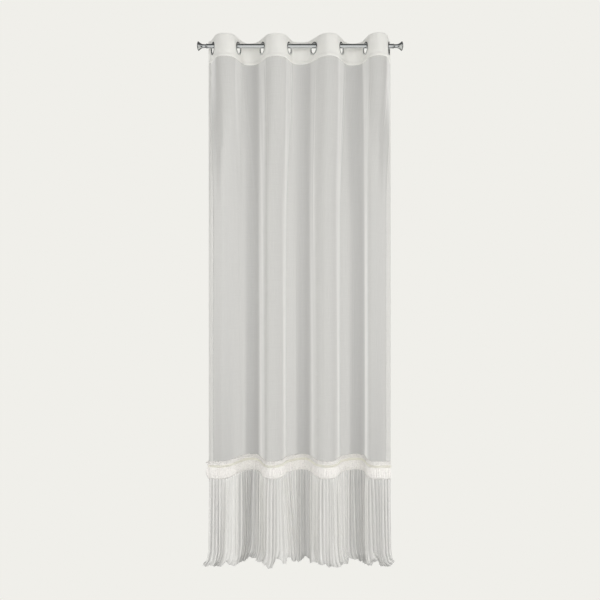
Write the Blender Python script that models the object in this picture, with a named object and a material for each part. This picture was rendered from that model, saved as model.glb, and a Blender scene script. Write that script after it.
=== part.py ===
"""Sheer voile eyelet curtain on a chrome rod, with a ruched trim and a pleated flounce.

Metres, +Z up. The origin is on the rod's axis, at the middle of its length. The room side, from which
the curtain is looked at, is -Y, and the wall side is +Y. The cloth hangs in four crests towards the room
and three valleys towards the wall. One fold table gives its plan at the heading, at the trim and at the
hem, and the plan at any height is blended from those three.
"""

import math
from collections import namedtuple

import bpy
from mathutils import Matrix, Vector

MM = 0.001
CLEARANCE = 0.3 * MM  # between pieces that are sewn, pressed or rest together

# Rod and finials
ROD_RADIUS = 10.0 * MM
ROD_LEFT_END = -440.0 * MM
ROD_RIGHT_END = 441.0 * MM
ROD_SIDES = 28
FINIAL_SIDES = 22
ProfilePoint = namedtuple("ProfilePoint", "along radius")  # mm from the rod's end, mm from its axis
FINIAL_PROFILE = [
    ProfilePoint(*row)
    for row in (
        (0.3, 0.0),
        (0.3, 10.6),  # collar against the rod
        (5.0, 10.6),
        (6.5, 8.6),  # neck
        (17.0, 8.4),
        (25.0, 9.6),  # the trumpet opens
        (31.0, 12.2),
        (36.0, 15.8),
        (41.0, 19.6),
        (44.0, 21.4),  # rim
        (46.2, 21.4),
        (47.8, 18.0),
        (49.2, 10.0),
        (49.7, 0.0),  # middle of the domed end
    )
]

# Eyelets: two domed washers pressed together, with a groove all round for the cloth
EYELET_HOLE_RADIUS = 22.0 * MM
EYELET_OUTER_RADIUS = 30.5 * MM
EYELET_GROOVE_RADIUS = 24.6 * MM
EYELET_HALF_DEPTH = 2.9 * MM
EYELET_SIDES = 18
EYELET_Z = ROD_RADIUS + 0.05 * MM + CLEARANCE - EYELET_HOLE_RADIUS  # the hole's top rests on the rod

# Cloth thicknesses
HEADING_THICKNESS = 1.8 * MM
VOILE_THICKNESS = 1.2 * MM
TRIM_BACK = 0.7 * MM  # back of the trim, behind the fold line
BRAID_THICKNESS = 1.2 * MM

# Heights
HEADING_TOP = 36.5 * MM
HEADING_BOTTOM = -69.0 * MM
TRIM_TOP = -1957.0 * MM
TRIM_BOTTOM = -2033.0 * MM
BRAID_MIDDLE = -1980.5 * MM
BRAID_HEIGHT = 5.0 * MM
HEM = -2446.0 * MM

# Plan of the folds, left to right: x and y in mm, and the lean of the cloth there in degrees from +X.
# Flanks run between a crest and a valley, and the eyelets sit on them. Below a shoulder a flank turns
# into a long slope. crisp says how tightly the cloth bends beside a fold further down: 0.6 is a round
# arc and 0.8 a soft corner.
Fold = namedtuple(
    "Fold", "name kind top_x top_y top_lean low_x low_y low_lean hem_x hem_y hem_lean crisp"
)
FOLDS = [
    Fold(*row)
    for row in (
        ("left edge", "edge", -440, 38, -58, -425, -59, -7, -452, -50, -12, 0.60),
        ("flank 1", "flank", -414, 0, -66, -404, -63, -4, -425, -62, -8, 0.60),
        ("crest 1", "peak", -353, -64, 0, -365, -66, 0, -366, -68, 0, 0.60),
        ("flank 2", "flank", -293, 0, 71, -302, -2, 60, -282, 0, 65, 0.60),
        ("valley 1", "peak", -242, 63, 0, -238, 62, 0, -240, 34, 0, 0.60),
        ("flank 3", "flank", -179, 0, -62, -182, 0, -73, -198, 0, -75, 0.76),
        ("crest 2", "peak", -112, -63, 0, -140, -66, 0, -135, -68, 0, 0.60),
        ("flank 4", "flank", -51, 0, 69, -71, -3, 74, -52, 0, 64, 0.70),
        ("shoulder 4", "bend", -25, 44, 22, -42, 36, 36, -20, 22, 19, 0.75),
        ("valley 2", "peak", 3, 49, 0, 8, 63, 0, 22, 28, 0, 0.60),
        ("flank 5", "flank", 66, 0, -58, 63, 0, -70, 68, 0, -70, 0.74),
        ("crest 3", "peak", 135, -67, 0, 126, -66, 0, 130, -70, 0, 0.60),
        ("flank 6", "flank", 197, 0, 65, 184, -4, 70, 210, 0, 68, 0.70),
        ("shoulder 6", "bend", 230, 55, 36, 214, 36, 34, 237, 23, 24, 0.75),
        ("valley 3", "peak", 255, 64, 0, 262, 62, 0, 272, 30, 0, 0.60),
        ("flank 7", "flank", 312, 0, -73, 315, 0, -86, 306, 0, -82, 0.74),
        ("crest 4", "peak", 370, -70, 0, 362, -68, 0, 372, -72, 0, 0.60),
        ("flank 8", "flank", 422, 0, 75, 399, -67, 3, 424, -62, 14, 0.60),
        ("right edge", "edge", 437, 46, 75, 422, -66, 2, 452, -50, 24, 0.60),
    )
]
TOP_CRISP = 0.60
TOP_STRAIGHT = 33.0  # mm each side of an eyelet where the heading is flat
LOW_STRAIGHT = 10.0
HEM_STRAIGHT = 6.0
FOLDS_SETTLED_AT = 0.42  # share of the panel's drop at which its folds reach the trim's plan

# Steps along the cloth and down it
BEND_STEPS = 5  # in each bend from a flank to a peak
EDGE_STEPS = 2
PANEL_ROWS = (0.0, 0.07, 0.14, 0.21, 0.28, 0.35, 0.42, 0.71, 1.0)  # shares of its drop
FINE_STEPS = 24  # in each bend, where columns are spaced by length

# Trim: a gathered band. stand is how far its face stands off the fold line, gather how deep its ruches are
TRIM_GATHERS = 100
TrimRow = namedtuple("TrimRow", "z stand gather")  # mm
TRIM_ROWS = [
    TrimRow(*row)
    for row in (
        (-1957.0, 1.7, 0.8),
        (-1968.0, 3.2, 0.9),
        (-1977.5, 1.3, 0.0),  # pinched under the braid
        (-1983.5, 1.3, 0.0),
        (-2006.0, 5.2, 0.9),
        (-2033.0, 2.0, 0.6),
    )
]

# Flounce: accordion pleats, shallow where they are sewn in and deep at the fluted hem
PLEATS = 104
# Each row: its share of the flounce's height and of the way to the hem's plan, how deep its pleats are
# and how far they are fluted, in mm, and its share of the hem's waves
PleatRow = namedtuple("PleatRow", "drop spread depth flute hem")
FLOUNCE_ROWS = [
    PleatRow(*row)
    for row in (
        (0.00, 0.00, 2.0, 0.0, 0.0),
        (0.06, 0.01, 4.4, 0.0, 0.0),
        (0.60, 0.10, 4.8, 0.2, 0.0),
        (0.90, 0.28, 5.2, 0.8, 0.4),
        (1.00, 1.00, 8.6, 2.2, 1.0),
    )
]
HEM_WAVE = 6.0  # mm that the hem's lobes rise and fall
HEM_FRONT = -68.0  # mm, where the crests of the hem lie
HEM_TILT = 0.08  # how much lower the hem hangs for each mm that it lies behind that

Look = namedtuple("Look", "red green blue roughness metallic")
CHROME = Look(0.72, 0.73, 0.74, 0.15, 1.0)
HEADING_WHITE = Look(0.80, 0.80, 0.77, 0.90, 0.0)
VOILE = Look(0.62, 0.62, 0.60, 0.90, 0.0)
CREAM = Look(0.86, 0.85, 0.80, 0.85, 0.0)
PALE_GOLD = Look(0.78, 0.72, 0.50, 0.55, 0.0)

Spot = namedtuple("Spot", "x y along_x along_y")  # a point of the plan and the cloth's direction there


def mix(start, end, share):
    return start + (end - start) * share


def smooth(share):
    share = min(max(share, 0.0), 1.0)
    return share * share * (3.0 - 2.0 * share)


def set_material(obj, name, look):
    material = bpy.data.materials.new(name)
    material.use_nodes = True
    shader = material.node_tree.nodes["Principled BSDF"]
    shader.inputs["Base Color"].default_value = (look.red, look.green, look.blue, 1.0)
    shader.inputs["Roughness"].default_value = look.roughness
    shader.inputs["Metallic"].default_value = look.metallic
    obj.data.materials.append(material)


def new_object(name, mesh, look):
    obj = bpy.data.objects.new(name, mesh)
    bpy.context.scene.collection.objects.link(obj)
    if look is not None:
        set_material(obj, name, look)
    return obj


def mesh_from(name, vertices, faces, smooth_angle=None):
    mesh = bpy.data.meshes.new(name)
    mesh.from_pydata([tuple(v) for v in vertices], [], faces)
    mesh.validate()
    if smooth_angle is not None:
        mesh.shade_smooth()
        mesh.set_sharp_from_angle(angle=math.radians(smooth_angle))
    return mesh


def blended_fold(fold, low, hem):
    """One fold of the plan at a height: low goes 0 to 1 from heading to trim, hem from trim to hem."""
    x = mix(mix(fold.top_x, fold.low_x, low), fold.hem_x, hem)
    y = mix(mix(fold.top_y, fold.low_y, low), fold.hem_y, hem)
    lean = math.radians(mix(mix(fold.top_lean, fold.low_lean, low), fold.hem_lean, hem))
    return Vector((x, y)), Vector((math.cos(lean), math.sin(lean)))


def handle_lengths(start, start_along, end, end_along, crisp):
    """Handles that bend a curve into the corner where its end tangents meet."""
    gap = end - start
    chord = gap.length
    turn = start_along.x * end_along.y - start_along.y * end_along.x
    if abs(turn) > 0.12:
        first = (gap.x * end_along.y - gap.y * end_along.x) / turn
        last = (start_along.x * gap.y - start_along.y * gap.x) / turn
        if 0.0 < first < 1.5 * chord and 0.0 < last < 1.5 * chord:
            return crisp * first, crisp * last
    return chord / 3.0, chord / 3.0


def bend(start, start_along, end, end_along, crisp, steps):
    """Spots along a cubic curve, without its last point."""
    first, last = handle_lengths(start, start_along, end, end_along, crisp)
    p1 = start + start_along * first
    p2 = end - end_along * last
    spots = []
    for i in range(steps):
        t = i / steps
        u = 1.0 - t
        place = start * u**3 + p1 * 3 * u * u * t + p2 * 3 * u * t * t + end * t**3
        way = (p1 - start) * u * u + (p2 - p1) * 2 * u * t + (end - p2) * t * t
        way.normalize()
        spots.append(Spot(place.x * MM, place.y * MM, way.x, way.y))
    return spots


def plan(low, hem, bend_steps=BEND_STEPS, edge_steps=EDGE_STEPS):
    """The cloth's middle line in plan at one height, left to right."""
    straight = mix(mix(TOP_STRAIGHT, LOW_STRAIGHT, low), HEM_STRAIGHT, hem)
    spots = []
    leave, leave_along = None, None
    for i, fold in enumerate(FOLDS):
        centre, along = blended_fold(fold, low, hem)
        half = straight if fold.kind == "flank" else 0.0
        enter = centre - along * half
        if leave is not None:
            crisp = mix(TOP_CRISP, max(fold.crisp, FOLDS[i - 1].crisp), low)
            steps = edge_steps if "edge" in (fold.kind, FOLDS[i - 1].kind) else bend_steps
            spots += bend(leave, leave_along, enter, along, crisp, steps)
        if half > 0.0:
            spots.append(Spot(enter.x * MM, enter.y * MM, along.x, along.y))
        leave, leave_along = centre + along * half, along
    spots.append(Spot(leave.x * MM, leave.y * MM, leave_along.x, leave_along.y))
    return spots


def evenly_spaced(spots, count):
    """count + 1 spots at equal lengths along a finely stepped plan."""
    reached = [0.0]
    for a, b in zip(spots, spots[1:]):
        reached.append(reached[-1] + math.hypot(b.x - a.x, b.y - a.y))
    picked = []
    i = 0
    for k in range(count + 1):
        wanted = reached[-1] * k / count
        while i < len(spots) - 2 and reached[i + 1] < wanted:
            i += 1
        a, b = spots[i], spots[i + 1]
        share = (wanted - reached[i]) / max(reached[i + 1] - reached[i], 1e-9)
        way = Vector((mix(a.along_x, b.along_x, share), mix(a.along_y, b.along_y, share))).normalized()
        picked.append(Spot(mix(a.x, b.x, share), mix(a.y, b.y, share), way.x, way.y))
    return picked


def stand_off(spot, distance, z):
    """A point off the fold line, towards the room where distance is positive."""
    return Vector((spot.x + spot.along_y * distance, spot.y - spot.along_x * distance, z))


def sheet_mesh(name, front, back, smooth_angle=None):
    """A closed sheet from two equal grids of points, rows from top to bottom, columns left to right."""
    rows, columns = len(front), len(front[0])
    vertices = [v for row in front for v in row] + [v for row in back for v in row]
    offset = rows * columns
    faces = []
    for r in range(rows - 1):
        for c in range(columns - 1):
            a = r * columns + c
            b, d, e = a + columns, a + columns + 1, a + 1
            faces += [(a, b, d), (a, d, e)]
            faces += [(a + offset, e + offset, d + offset), (a + offset, d + offset, b + offset)]
    for c in range(columns - 1):
        bottom = (rows - 1) * columns + c
        faces.append((c, c + 1, c + 1 + offset, c + offset))
        faces.append((bottom, bottom + offset, bottom + 1 + offset, bottom + 1))
    for r in range(rows - 1):
        left, right = r * columns, r * columns + columns - 1
        faces.append((left, left + offset, left + columns + offset, left + columns))
        faces.append((right, right + columns, right + columns + offset, right + offset))
    return mesh_from(name, vertices, faces, smooth_angle)


def turned_mesh(name, profile, sides, smooth_angle=40.0):
    """A solid turned about X, its profile running from the axis to the axis, as (x, radius) in metres."""
    vertices = [Vector((profile[0][0], 0.0, 0.0))]
    rings = profile[1:-1]
    for x, radius in rings:
        for i in range(sides):
            angle = 2.0 * math.pi * i / sides
            vertices.append(Vector((x, radius * math.cos(angle), radius * math.sin(angle))))
    vertices.append(Vector((profile[-1][0], 0.0, 0.0)))
    last = len(vertices) - 1
    faces = []
    for i in range(sides):
        j = (i + 1) % sides
        faces.append((0, 1 + j, 1 + i))
        faces.append((last, last - sides + i, last - sides + j))
        for r in range(len(rings) - 1):
            a, b = 1 + r * sides, 1 + (r + 1) * sides
            faces.append((a + i, a + j, b + j, b + i))
    return mesh_from(name, vertices, faces, smooth_angle)


def make_rod():
    profile = [
        (ROD_LEFT_END, 0.0),
        (ROD_LEFT_END, ROD_RADIUS),
        (ROD_RIGHT_END, ROD_RADIUS),
        (ROD_RIGHT_END, 0.0),
    ]
    new_object("rod", turned_mesh("rod", profile, ROD_SIDES), CHROME)


def make_finials():
    right = [(ROD_RIGHT_END + p.along * MM, p.radius * MM) for p in FINIAL_PROFILE]
    left = [(ROD_LEFT_END - p.along * MM, p.radius * MM) for p in reversed(FINIAL_PROFILE)]
    new_object("finial_right", turned_mesh("finial_right", right, FINIAL_SIDES), CHROME)
    new_object("finial_left", turned_mesh("finial_left", left, FINIAL_SIDES), CHROME)


def eyelet_places():
    """Each eyelet's frame: X along the cloth, Y up, Z out of its face."""
    places = []
    for fold in FOLDS:
        if fold.kind != "flank":
            continue
        centre, along = blended_fold(fold, 0.0, 0.0)
        way = Vector((along.x, along.y, 0.0))
        up = Vector((0.0, 0.0, 1.0))
        frame = Matrix((way, up, way.cross(up))).transposed().to_4x4()
        frame.translation = Vector((centre.x * MM, centre.y * MM, EYELET_Z))
        places.append(frame)
    return places


def ring_points(radius, height, sides, phase=0.5):
    """A polygon whose upper flat is level, so that it rests on the rod along an edge."""
    points = []
    for i in range(sides):
        angle = math.pi / 2.0 + 2.0 * math.pi * (i + phase) / sides
        points.append(Vector((radius * math.cos(angle), radius * math.sin(angle), height)))
    return points


def eyelet_mesh(name):
    groove = HEADING_THICKNESS / 2.0 + CLEARANCE
    deep = EYELET_HALF_DEPTH
    flat = 1.0 / math.cos(math.pi / EYELET_SIDES)  # so that the polygon's flats have the named radii
    hole, outer = EYELET_HOLE_RADIUS * flat, EYELET_OUTER_RADIUS
    profile = [
        (EYELET_GROOVE_RADIUS, -groove),
        (outer, -groove),
        (outer - 1.6 * MM, -deep),
        (hole + 1.2 * MM, -deep),
        (hole, 0.0),
        (hole + 1.2 * MM, deep),
        (outer - 1.6 * MM, deep),
        (outer, groove),
        (EYELET_GROOVE_RADIUS, groove),
    ]
    vertices, faces = [], []
    for radius, height in profile:
        vertices += ring_points(radius, height, EYELET_SIDES)
    count = len(profile)
    for r in range(count):
        for i in range(EYELET_SIDES):
            j = (i + 1) % EYELET_SIDES
            a, b = r * EYELET_SIDES, ((r + 1) % count) * EYELET_SIDES
            faces.append((a + i, b + i, b + j, a + j))
    return mesh_from(name, vertices, faces, 35.0)


def make_eyelets():
    for number, frame in enumerate(eyelet_places(), start=1):
        name = f"eyelet_{number}"
        obj = new_object(name, eyelet_mesh(name), CHROME)
        obj.matrix_world = frame


def hole_cutter():
    """One guide that holds the eight round holes of the heading."""
    radius = EYELET_GROOVE_RADIUS + 0.45 * MM
    vertices, faces = [], []
    sides = EYELET_SIDES
    for frame in eyelet_places():
        start = len(vertices)
        for height in (-6.0 * MM, 6.0 * MM):
            vertices += [frame @ v for v in ring_points(radius, height, sides)]
        faces.append(tuple(start + i for i in reversed(range(sides))))
        faces.append(tuple(start + sides + i for i in range(sides)))
        for i in range(sides):
            j = (i + 1) % sides
            faces.append((start + i, start + j, start + sides + j, start + sides + i))
    cutter = new_object("heading_holes", mesh_from("heading_holes", vertices, faces), None)
    cutter.hide_render = True
    cutter.display_type = "WIRE"
    return cutter


def make_heading():
    spots = plan(0.0, 0.0)
    half = HEADING_THICKNESS / 2.0
    heights = (HEADING_TOP, HEADING_BOTTOM)
    front = [[stand_off(s, half, z) for s in spots] for z in heights]
    back = [[stand_off(s, -half, z) for s in spots] for z in heights]
    obj = new_object("heading", sheet_mesh("heading", front, back, 30.0), HEADING_WHITE)
    cut = obj.modifiers.new("eyelet holes", "BOOLEAN")
    cut.operation = "DIFFERENCE"
    cut.solver = "EXACT"
    cut.object = hole_cutter()


def make_panel():
    top, bottom = HEADING_BOTTOM - CLEARANCE, TRIM_TOP + CLEARANCE
    half = VOILE_THICKNESS / 2.0
    front, back = [], []
    for share in PANEL_ROWS:
        z = mix(top, bottom, share)
        spots = plan(smooth(share / FOLDS_SETTLED_AT), 0.0)
        front.append([stand_off(s, half, z) for s in spots])
        back.append([stand_off(s, -half, z) for s in spots])
    new_object("panel", sheet_mesh("panel", front, back, 40.0), VOILE)


def trim_spots():
    return evenly_spaced(plan(1.0, 0.0, FINE_STEPS, FINE_STEPS), 2 * TRIM_GATHERS)


def gather(column):
    """How far a ruche stands out at a column, from -1 to 1: every second column is a ridge."""
    uneven = 1.0 + 0.30 * math.sin(1.9 * column) + 0.20 * math.sin(0.83 * column + 1.0)
    return (0.5 if column % 2 else -0.5) * uneven


def make_trim():
    spots = trim_spots()
    front, back = [], []
    for row in TRIM_ROWS:
        z = row.z * MM
        front.append(
            [stand_off(s, (row.stand + row.gather * gather(c)) * MM, z) for c, s in enumerate(spots)]
        )
        back.append([stand_off(s, -TRIM_BACK, z) for s in spots])
    new_object("trim", sheet_mesh("trim", front, back, 50.0), CREAM)


def make_braid():
    pinch = TRIM_ROWS[2].stand * MM + CLEARANCE
    spots = trim_spots()
    heights = (BRAID_MIDDLE + BRAID_HEIGHT / 2.0, BRAID_MIDDLE - BRAID_HEIGHT / 2.0)
    front = [[stand_off(s, pinch + BRAID_THICKNESS, z) for s in spots] for z in heights]
    back = [[stand_off(s, pinch, z) for s in spots] for z in heights]
    new_object("trim_braid", sheet_mesh("trim_braid", front, back, 30.0), PALE_GOLD)


def make_flounce():
    columns = 2 * PLEATS
    top = TRIM_BOTTOM - CLEARANCE
    front, back = [], []
    for row in FLOUNCE_ROWS:
        spots = evenly_spaced(plan(1.0, row.spread, FINE_STEPS, FINE_STEPS), columns)
        spacing = math.hypot(spots[1].x - spots[0].x, spots[1].y - spots[0].y)
        front_row, back_row = [], []
        for c, spot in enumerate(spots):
            side = 1.0 if c % 2 else -1.0
            uneven = 1.0 + 0.16 * math.sin(1.37 * c) + 0.12 * math.sin(0.61 * c + 2.0)
            depth = row.depth * uneven * MM
            flute = row.flute * math.sin(0.55 * c + 1.3 * math.sin(0.071 * c)) * MM
            lobe = HEM_WAVE * MM * row.hem * math.sin(0.33 * c + 1.7 * math.sin(0.11 * c))
            slope = math.atan2(2.0 * depth, spacing)
            half = VOILE_THICKNESS / 2.0 / math.cos(slope)
            sag = HEM_TILT * row.hem * (spot.y - HEM_FRONT * MM)
            z = mix(top, HEM, row.drop) + lobe - sag
            front_row.append(stand_off(spot, side * depth + flute + half, z))
            back_row.append(stand_off(spot, side * depth + flute - half, z))
        front.append(front_row)
        back.append(back_row)
    new_object("flounce", sheet_mesh("flounce", front, back, 60.0), VOILE)


def main():
    for obj in list(bpy.data.objects):
        bpy.data.objects.remove(obj, do_unlink=True)
    make_rod()
    make_finials()
    make_eyelets()
    make_heading()
    make_panel()
    make_trim()
    make_braid()
    make_flounce()


main()
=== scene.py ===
"""Sheer voile eyelet curtain on a chrome rod, with a ruched cream trim and a finely pleated flounce.

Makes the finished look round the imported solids. Metres, +Z up; the origin is on the rod's axis, at the
middle of its length; -Y is the room side and +Y the wall side. One table of folds gives the cloth's plan
at the heading, at the trim and at the hem, and every piece of cloth is laid along it. Each operator makes
one piece or one group of like pieces, and main() calls them in order.
"""

import math
from bisect import bisect_right
from collections import namedtuple

import bpy
from bpy.props import FloatProperty, FloatVectorProperty, IntProperty, PointerProperty
from bpy.types import Operator, Panel, PropertyGroup
from mathutils import Matrix, Vector


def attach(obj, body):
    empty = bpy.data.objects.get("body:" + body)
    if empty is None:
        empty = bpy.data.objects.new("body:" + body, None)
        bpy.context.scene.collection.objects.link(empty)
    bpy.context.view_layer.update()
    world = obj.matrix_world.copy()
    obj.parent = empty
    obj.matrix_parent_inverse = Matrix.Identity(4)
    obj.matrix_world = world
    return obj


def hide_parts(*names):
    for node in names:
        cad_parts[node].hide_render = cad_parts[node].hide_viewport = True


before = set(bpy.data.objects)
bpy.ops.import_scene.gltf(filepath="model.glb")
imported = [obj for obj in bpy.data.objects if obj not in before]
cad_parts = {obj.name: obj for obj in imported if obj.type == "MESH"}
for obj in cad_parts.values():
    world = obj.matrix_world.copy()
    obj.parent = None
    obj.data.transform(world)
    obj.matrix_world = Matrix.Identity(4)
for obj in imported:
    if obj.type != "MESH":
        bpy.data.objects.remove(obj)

bl_info = {
    "name": "Voile Eyelet Curtain",
    "version": (1, 0, 0),
    "blender": (4, 5, 0),
    "location": "3D View > Sidebar > Curtain",
    "description": "Makes a sheer eyelet curtain with a ruched trim and a pleated flounce on a chrome rod",
    "category": "Add Mesh",
}

MM = 0.001
UP = Vector((0.0, 0.0, 1.0))
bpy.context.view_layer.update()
CLOTH_MAP = "cloth"  # UV map of every cloth piece, in metres along the cloth and up it
PANEL_MAP_WIDTH, PANEL_WIDTH_MM = 1.4, 1400.0  # in metres on its map, in mm for its creases
FOLD_MAP_WIDTH = 0.0005  # half of what the rounded fold of a side hem takes up on the map
FLOUNCE_MAP_WIDTH, FLOUNCE_MAP_HEIGHT = 2.6, 0.43
SEAM_GAP = 0.3 * MM  # between pieces that are sewn together
TRIM_DARKENING, LEAST_DARKENING = 0.42, 0.05  # painted shade that grows darker, with more yarn in view, towards the trim
HEM_CURL = 0.022  # height of the flounce's lowest part, which curls out and shows its underside, dimmed there by painted shade


def table(kind, *rows):
    return [kind(*row) for row in rows]


# Plan of the folds, left to right: x and y in mm, and the lean of the cloth there in degrees from +X.
# Flanks run between a crest and a valley, and the eyelets sit on them. Below a shoulder a flank turns
# into a long slope. crisp says how tightly the cloth bends beside a fold further down: 0.6 is a round
# arc and 0.8 a soft corner.
Fold = namedtuple("Fold", "name top_x top_y top_lean low_x low_y low_lean hem_x hem_y hem_lean crisp")
FOLDS = table(
    Fold,
    ("left edge", -440, 38, -58, -425, -59, -7, -452, -50, -12, 0.60),
    ("flank 1", -414, 0, -66, -404, -63, -4, -425, -62, -8, 0.60),
    ("crest 1", -353, -64, 0, -365, -66, 0, -366, -68, 0, 0.60),
    ("flank 2", -293, 0, 71, -302, -2, 60, -282, 0, 65, 0.60),
    ("valley 1", -242, 63, 0, -238, 62, 0, -240, 34, 0, 0.60),
    ("flank 3", -179, 0, -62, -182, 0, -73, -198, 0, -75, 0.76),
    ("crest 2", -112, -63, 0, -140, -66, 0, -135, -68, 0, 0.60),
    ("flank 4", -51, 0, 69, -71, -3, 74, -52, 0, 64, 0.70),
    ("shoulder 4", -25, 44, 22, -42, 36, 36, -20, 22, 19, 0.75),
    ("valley 2", 3, 49, 0, 8, 63, 0, 22, 28, 0, 0.60),
    ("flank 5", 66, 0, -58, 63, 0, -70, 68, 0, -70, 0.74),
    ("crest 3", 135, -67, 0, 126, -66, 0, 130, -70, 0, 0.60),
    ("flank 6", 197, 0, 65, 184, -4, 70, 210, 0, 68, 0.70),
    ("shoulder 6", 230, 55, 36, 214, 36, 34, 237, 23, 24, 0.75),
    ("valley 3", 255, 64, 0, 262, 62, 0, 272, 30, 0, 0.60),
    ("flank 7", 312, 0, -73, 315, 0, -86, 306, 0, -82, 0.74),
    ("crest 4", 370, -70, 0, 362, -68, 0, 372, -72, 0, 0.60),
    ("flank 8", 422, 0, 75, 399, -67, 3, 424, -62, 14, 0.60),
    ("right edge", 437, 46, 75, 422, -66, 2, 452, -50, 24, 0.60),
)
FLANKS = [fold for fold in FOLDS if fold.name.startswith("flank")]
TOP_CRISP = 0.60
TOP_STRAIGHT, LOW_STRAIGHT, HEM_STRAIGHT = 33.0, 10.0, 6.0  # mm each side of a flank's middle
BEND_STEPS = 16
FOLDS_SETTLED_AT = 0.42  # share of the panel's drop at which its folds reach the trim's plan

# Places of painted shade on the sheer cloth, where more of it is yarn too: down the hollows of the
# folds, and on the two outer crests towards the trim. Each lies a little ahead of its fold, and has its
# share of the full effect.
PaintedPlace = namedtuple("PaintedPlace", "fold reach top_ahead low_ahead top_share low_share")  # mm
PANEL_PAINTED_SHADE = table(
    PaintedPlace,
    ("crest 1", 78, 12, 10, 0.15, 0.55),
    ("valley 1", 46, 6, 8, 1.0, 1.15),
    ("valley 2", 48, 19, 12, 0.82, 1.1),
    ("valley 3", 52, 17, 22, 0.95, 1.2),
    ("crest 4", 60, -5, -8, 0.15, 0.50),
)
# Places of painted shade on the flounce, where more of it is yarn too
FLOUNCE_PAINTED_SHADE = table(
    PaintedPlace,
    ("crest 1", 66, 0, 0, 0.3, 0.3),
    ("valley 1", 82, 0, -4, 1.0, 1.0),
    ("valley 2", 55, 0, 20, 1.0, 1.0),
    ("valley 3", 74, 0, 30, 1.0, 1.0),
    ("crest 4", 60, 0, -10, 0.5, 0.5),
)
# In these hollows the trim looks paler, because the cloth on both sides throws light on it
TRIM_HOLLOWS = [PaintedPlace(f"valley {n}", 95, 0, 0, 1.0, 1.0) for n in (1, 2, 3)]

# Soft creases of the panel. Upright ones run down the cloth at a share of its width.
UprightCrease = namedtuple("UprightCrease", "across top bottom width depth drift")  # mm but for across
UPRIGHT_CREASES = table(
    UprightCrease,
    # the first two lie beside the left side hem
    (0.0165, -69, -1300, 5, -2.0, 0.0), (0.0165, -1250, -1957, 4, 1.1, 0.0),
    (0.085, -69, -620, 9, 0.8, 0.004), (0.212, -69, -900, 8, 0.9, -0.004),
    (0.318, -69, -760, 6, -1.0, 0.006), (0.338, -300, -1500, 5, 0.7, 0.004),
    (0.455, -69, -560, 8, 0.8, -0.006), (0.472, -800, -1957, 7, 0.8, 0.003),
    (0.560, -69, -1100, 6, -0.8, 0.005), (0.640, -500, -1957, 9, 0.7, -0.004),
    (0.725, -69, -700, 8, 0.9, 0.004), (0.802, -900, -1957, 6, 0.8, -0.003),
    (0.868, -69, -980, 6, -0.9, 0.004), (0.945, -69, -520, 8, 0.7, 0.003),
)
# Level creases lie in the valleys and across the crests, where the cloth is held by the two seams
LevelCrease = namedtuple("LevelCrease", "fold z reach depth")  # mm
AT_HEADING = table(
    LevelCrease,
    ("valley 1", -79, 52, 1.0), ("valley 1", -91, 44, -0.9), ("valley 1", -104, 36, 0.6),
    ("valley 2", -80, 48, 0.9), ("valley 2", -93, 40, -0.7), ("valley 3", -78, 54, 1.0),
    ("valley 3", -90, 46, -0.9), ("valley 3", -103, 36, 0.7),
    ("crest 2", -87, 40, 0.5), ("crest 3", -89, 44, 0.5),
)
AT_TRIM = table(
    LevelCrease,
    ("valley 1", -1947, 50, 0.9), ("valley 1", -1934, 44, -0.8), ("valley 1", -1920, 36, 0.5),
    ("valley 2", -1946, 48, 0.9), ("valley 2", -1931, 40, -0.7), ("valley 3", -1947, 50, 0.9),
    ("valley 3", -1934, 42, -0.8), ("crest 1", -1944, 44, 0.5), ("crest 3", -1945, 42, 0.5),
    ("crest 4", -1942, 46, 0.7), ("crest 4", -1930, 38, -0.5),
)

# Trim: how far its face stands off the fold line, how deep its ruches are, how far its left end sticks
# out and how far it droops on the crests. It is pinched under the braid.
TrimRow = namedtuple("TrimRow", "z stand gather ends droop")  # mm
TRIM_ROWS = table(
    TrimRow,
    (-1956.6, 4.2, 2.8, 8.0, 0.0), (-1962.0, 3.6, 2.4, 12.0, 0.0), (-1970.0, 2.9, 1.6, 6.0, 0.0),
    (-1977.0, 1.6, 0.5, 5.0, 0.0), (-1980.5, 1.1, 0.1, 3.0, 0.0), (-1984.0, 1.6, 0.5, 5.0, 0.2),
    (-1992.0, 4.4, 1.3, 9.0, 1.0), (-2004.0, 6.2, 1.7, 14.0, 2.6), (-2016.0, 6.4, 1.7, 10.0, 4.4),
    (-2026.0, 4.9, 1.4, 5.0, 5.6), (-2033.2, 2.6, 0.7, 3.0, 6.0),
)

# Flounce: each row gives its share of the height and of the way to the hem's plan, the depth of its
# pleats, how far they are fluted and how far they wander, in mm, and its share of the hem's lobes
PleatRow = namedtuple("PleatRow", "drop spread depth flute wander hem")
FLOUNCE_ROWS = table(
    PleatRow,
    (0.00, 0.00, 1.8, 0.0, 0.6, 0.0), (0.05, 0.01, 5.6, 0.0, 1.2, 0.0),
    (0.30, 0.05, 6.2, 0.0, 3.0, 0.0), (0.60, 0.10, 6.0, 0.3, 4.0, 0.1),
    (0.86, 0.18, 5.8, 1.6, 4.4, 0.5), (0.95, 0.45, 5.0, 5.5, 4.6, 0.9),
    (1.00, 1.00, 3.4, 11.0, 5.0, 1.0),
)
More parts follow.
